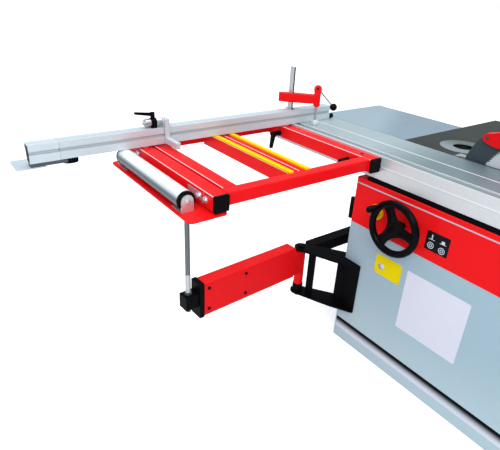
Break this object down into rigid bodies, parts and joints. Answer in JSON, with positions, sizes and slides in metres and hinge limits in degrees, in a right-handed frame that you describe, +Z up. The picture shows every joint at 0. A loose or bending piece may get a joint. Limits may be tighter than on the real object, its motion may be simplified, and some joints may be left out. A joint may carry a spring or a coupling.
{
  "type": "combination saw spindle moulder",
  "caption": "Floor-standing circular saw and spindle moulder with cast main table, aluminium sliding table, red outrigger frame on a swing arm, crosscut fence, flip stop and hold-down.",
  "frame": {"origin": "centre of the cabinet's footprint, on the floor", "axes": "+Z up, +Y along the sliding table away from the operator, +X from the outrigger to the main table"},
  "size_m": [2.08, 2.016, 1.095],
  "materials": {
    "red_paint": "satin red stove enamel",
    "grey_paint": "satin blue-grey enamel",
    "black_paint": "satin black enamel",
    "cast_iron": "ground cast iron",
    "sheet_table": "blue-grey sheet",
    "aluminium": "anodised, matt",
    "steel": "machined",
    "chrome": "bright chrome",
    "black_plastic": "moulded, fine grain",
    "yellow_plastic": "moulded",
    "red_plastic": "moulded",
    "motor_grey": "cast, painted",
    "rubber": "belt rubber"
  },
  "bodies": {
    "base": {"cabinet_shell": "grey_paint", "top_cowl": "red_paint", "saw_cradles": "black_paint", "main_table": "cast_iron", "saw_insert": "aluminium", "spindle_rings": "steel", "far_wing": "sheet_table", "slide_beam": "black_paint", "swing_bracket": "black_paint", "pivot_pin": "steel", "dust_port": "black_paint", "cable_gland": "black_plastic", "estop_base": "yellow_plastic", "door_hinges": "black_paint"},
    "slider": {"sliding_table": "aluminium", "end_caps": "black_plastic", "outrigger_frame": "red_paint", "glide_strips": "yellow_plastic", "roller_brackets": "steel", "frame_bolts": "steel", "crosscut_fence": "aluminium", "clamp_column": "steel"},
    "cage": {"roller_cage": "steel"},
    "roller": {"support_roller": "chrome"},
    "extension": {"fence_extension": "aluminium", "extension_shoe": "steel"},
    "extension_clamp": {"extension_knob": "black_plastic"},
    "stop": {"stop_clamp": "black_paint", "stop_shaft": "steel"},
    "stop_clamp_lever": {"stop_lever": "black_plastic"},
    "stop_flap": {"stop_finger": "aluminium"},
    "hold_down": {"hold_down_arm": "red_paint"},
    "cam": {"cam_lever": "steel"},
    "plunger": {"hold_down_plunger": "steel"},
    "near_lever": {"frame_lever_near": "black_plastic"},
    "far_lever": {"frame_lever_far": "black_plastic"},
    "arm": {"swing_arm": "red_paint", "arm_end_frame": "black_plastic"},
    "inner": {"inner_beam": "black_paint", "support_rod": "steel"},
    "spindle_wheel": {"spindle_handwheel": "black_plastic"},
    "wheel_grip": {"spindle_wheel_grip": "black_plastic"},
    "saw_wheel": {"saw_handwheel": "black_plastic"},
    "estop": {"estop_button": "red_plastic"},
    "isolator": {"main_switch": "red_plastic"},
    "door": {"service_door": "red_paint"},
    "tilt": {"tilt_carriage": "cast_iron"},
    "lift": {"saw_lift_slide": "cast_iron", "saw_motor": "motor_grey", "saw_belt": "rubber", "riving_knife": "steel"},
    "arbor": {"saw_arbor": "steel", "saw_blade": "steel"},
    "saw_pulley": {"saw_motor_pulley": "cast_iron"},
    "guard": {"saw_guard": "red_paint"},
    "quill_unit": {"quill": "cast_iron", "spindle_motor": "motor_grey", "spindle_belt": "rubber"},
    "spindle_unit": {"spindle": "steel"},
    "moulder_pulley": {"spindle_motor_pulley": "cast_iron"}
  },
  "joints": [
    {"name": "table_slide", "type": "slide", "parent": "base", "child": "slider", "axis": [0, 1, 0], "range_m": [-1.05, 0.15]},
    {"name": "cage_slide", "type": "slide", "parent": "base", "child": "cage", "axis": [0, 1, 0], "range_m": [-0.525, 0.075]},
    {"name": "roller_spin", "type": "hinge", "parent": "slider", "child": "roller", "pos_m": [-1.062, 0.748, 0.8315], "axis": [0, 1, 0], "continuous": true},
    {"name": "extension_slide", "type": "slide", "parent": "slider", "child": "extension", "axis": [-1, 0, 0], "range_m": [0, 0.5]},
    {"name": "extension_knob_turn", "type": "hinge", "parent": "slider", "child": "extension_clamp", "pos_m": [-1.246, 0.971, 0.853], "axis": [0, 0, 1], "range_deg": [0, 360]},
    {"name": "stop_slide", "type": "slide", "parent": "slider", "child": "stop", "axis": [1, 0, 0], "range_m": [-0.25, 0.45]},
    {"name": "stop_flip", "type": "hinge", "parent": "stop", "child": "stop_flap", "pos_m": [-0.905, 0.975, 0.938], "axis": [-1, 0, 0], "range_deg": [0, 110]},
    {"name": "stop_lever_turn", "type": "hinge", "parent": "stop", "child": "stop_clamp_lever", "pos_m": [-0.946, 0.975, 0.96], "axis": [0, 0, 1], "range_deg": [-60, 60]},
    {"name": "hold_down_slide", "type": "slide", "parent": "slider", "child": "hold_down", "axis": [0, 0, 1], "range_m": [0, 0.09]},
    {"name": "cam_turn", "type": "hinge", "parent": "hold_down", "child": "cam", "pos_m": [-0.215, 0.905, 1.014], "axis": [-0.7115, -0.7026, 0], "range_deg": [0, 100]},
    {"name": "plunger_slide", "type": "slide", "parent": "hold_down", "child": "plunger", "axis": [0, 0, 1], "range_m": [0, 0.0034]},
    {"name": "near_lever_turn", "type": "hinge", "parent": "slider", "child": "near_lever", "pos_m": [-0.36, 0.57, 0.822], "axis": [1, 0, 0], "range_deg": [0, 70]},
    {"name": "far_lever_turn", "type": "hinge", "parent": "slider", "child": "far_lever", "pos_m": [-0.36, 0.975, 0.822], "axis": [-1, 0, 0], "range_deg": [0, 70]},
    {"name": "arm_swing", "type": "hinge", "parent": "base", "child": "arm", "pos_m": [-0.408, 0.705, 0.3], "axis": [0, 0, 1], "range_deg": [-60, 40]},
    {"name": "arm_extend", "type": "slide", "parent": "arm", "child": "inner", "axis": [-0.9986, -0.0523, 0], "range_m": [0, 0.3]},
    {"name": "door_swing", "type": "hinge", "parent": "base", "child": "door", "pos_m": [-0.3, 0.556, 0.59], "axis": [0, 0, 1], "range_deg": [0, 100]},
    {"name": "spindle_wheel_turn", "type": "hinge", "parent": "base", "child": "spindle_wheel", "pos_m": [-0.34, 0.306, 0.65], "axis": [1, 0, 0], "range_deg": [0, 4680]},
    {"name": "spindle_lift", "type": "slide", "parent": "base", "child": "quill_unit", "axis": [0, 0, 1], "range_m": [0, 0.13]},
    {"name": "grip_spin", "type": "hinge", "parent": "spindle_wheel", "child": "wheel_grip", "pos_m": [-0.4, 0.37105, 0.71505], "axis": [1, 0, 0], "continuous": true},
    {"name": "spindle_spin", "type": "hinge", "parent": "quill_unit", "child": "spindle_unit", "pos_m": [0.1, 0.38, 0.6], "axis": [0, 0, 1], "continuous": true},
    {"name": "moulder_pulley_spin", "type": "hinge", "parent": "quill_unit", "child": "moulder_pulley", "pos_m": [-0.015, 0.43, 0.5], "axis": [0, 0, 1], "continuous": true},
    {"name": "saw_wheel_turn", "type": "hinge", "parent": "base", "child": "saw_wheel", "pos_m": [0.06, -0.57, 0.64], "axis": [0, 1, 0], "range_deg": [0, 1620]},
    {"name": "saw_tilt", "type": "hinge", "parent": "base", "child": "tilt", "pos_m": [-0.025, 0, 0.86], "axis": [0, 1, 0], "range_deg": [0, 45]},
    {"name": "saw_lift", "type": "slide", "parent": "tilt", "child": "lift", "axis": [0, 0, 1], "range_m": [-0.045, 0]},
    {"name": "arbor_spin", "type": "hinge", "parent": "lift", "child": "arbor", "pos_m": [0, 0.066, 0.808], "axis": [1, 0, 0], "continuous": true},
    {"name": "saw_pulley_spin", "type": "hinge", "parent": "lift", "child": "saw_pulley", "pos_m": [0.082, -0.19, 0.65], "axis": [1, 0, 0], "continuous": true},
    {"name": "guard_tilt", "type": "hinge", "parent": "lift", "child": "guard", "pos_m": [-0.025, 0.22801, 0.95387], "axis": [-1, 0, 0], "range_deg": [0, 30]},
    {"name": "estop_push", "type": "slide", "parent": "base", "child": "estop", "axis": [1, 0, 0], "range_m": [0, 0.004], "stiffness_N_per_m": 900},
    {"name": "isolator_turn", "type": "hinge", "parent": "base", "child": "isolator", "pos_m": [0.23, -0.55, 0.66], "axis": [0, 1, 0], "range_deg": [0, 90]}
  ],
  "couplings": [
    {"joint": "cage_slide", "follows": "table_slide", "ratio": 0.5},
    {"joint": "plunger_slide", "follows": "cam_turn", "m_per_rad": 0.0019481},
    {"joint": "spindle_wheel_turn", "follows": "spindle_lift", "rad_per_m": 628.32},
    {"joint": "moulder_pulley_spin", "follows": "spindle_spin", "ratio": 0.66667},
    {"joint": "saw_wheel_turn", "follows": "saw_lift", "rad_per_m": -628.32},
    {"joint": "saw_pulley_spin", "follows": "arbor_spin", "ratio": 0.8}
  ]
}
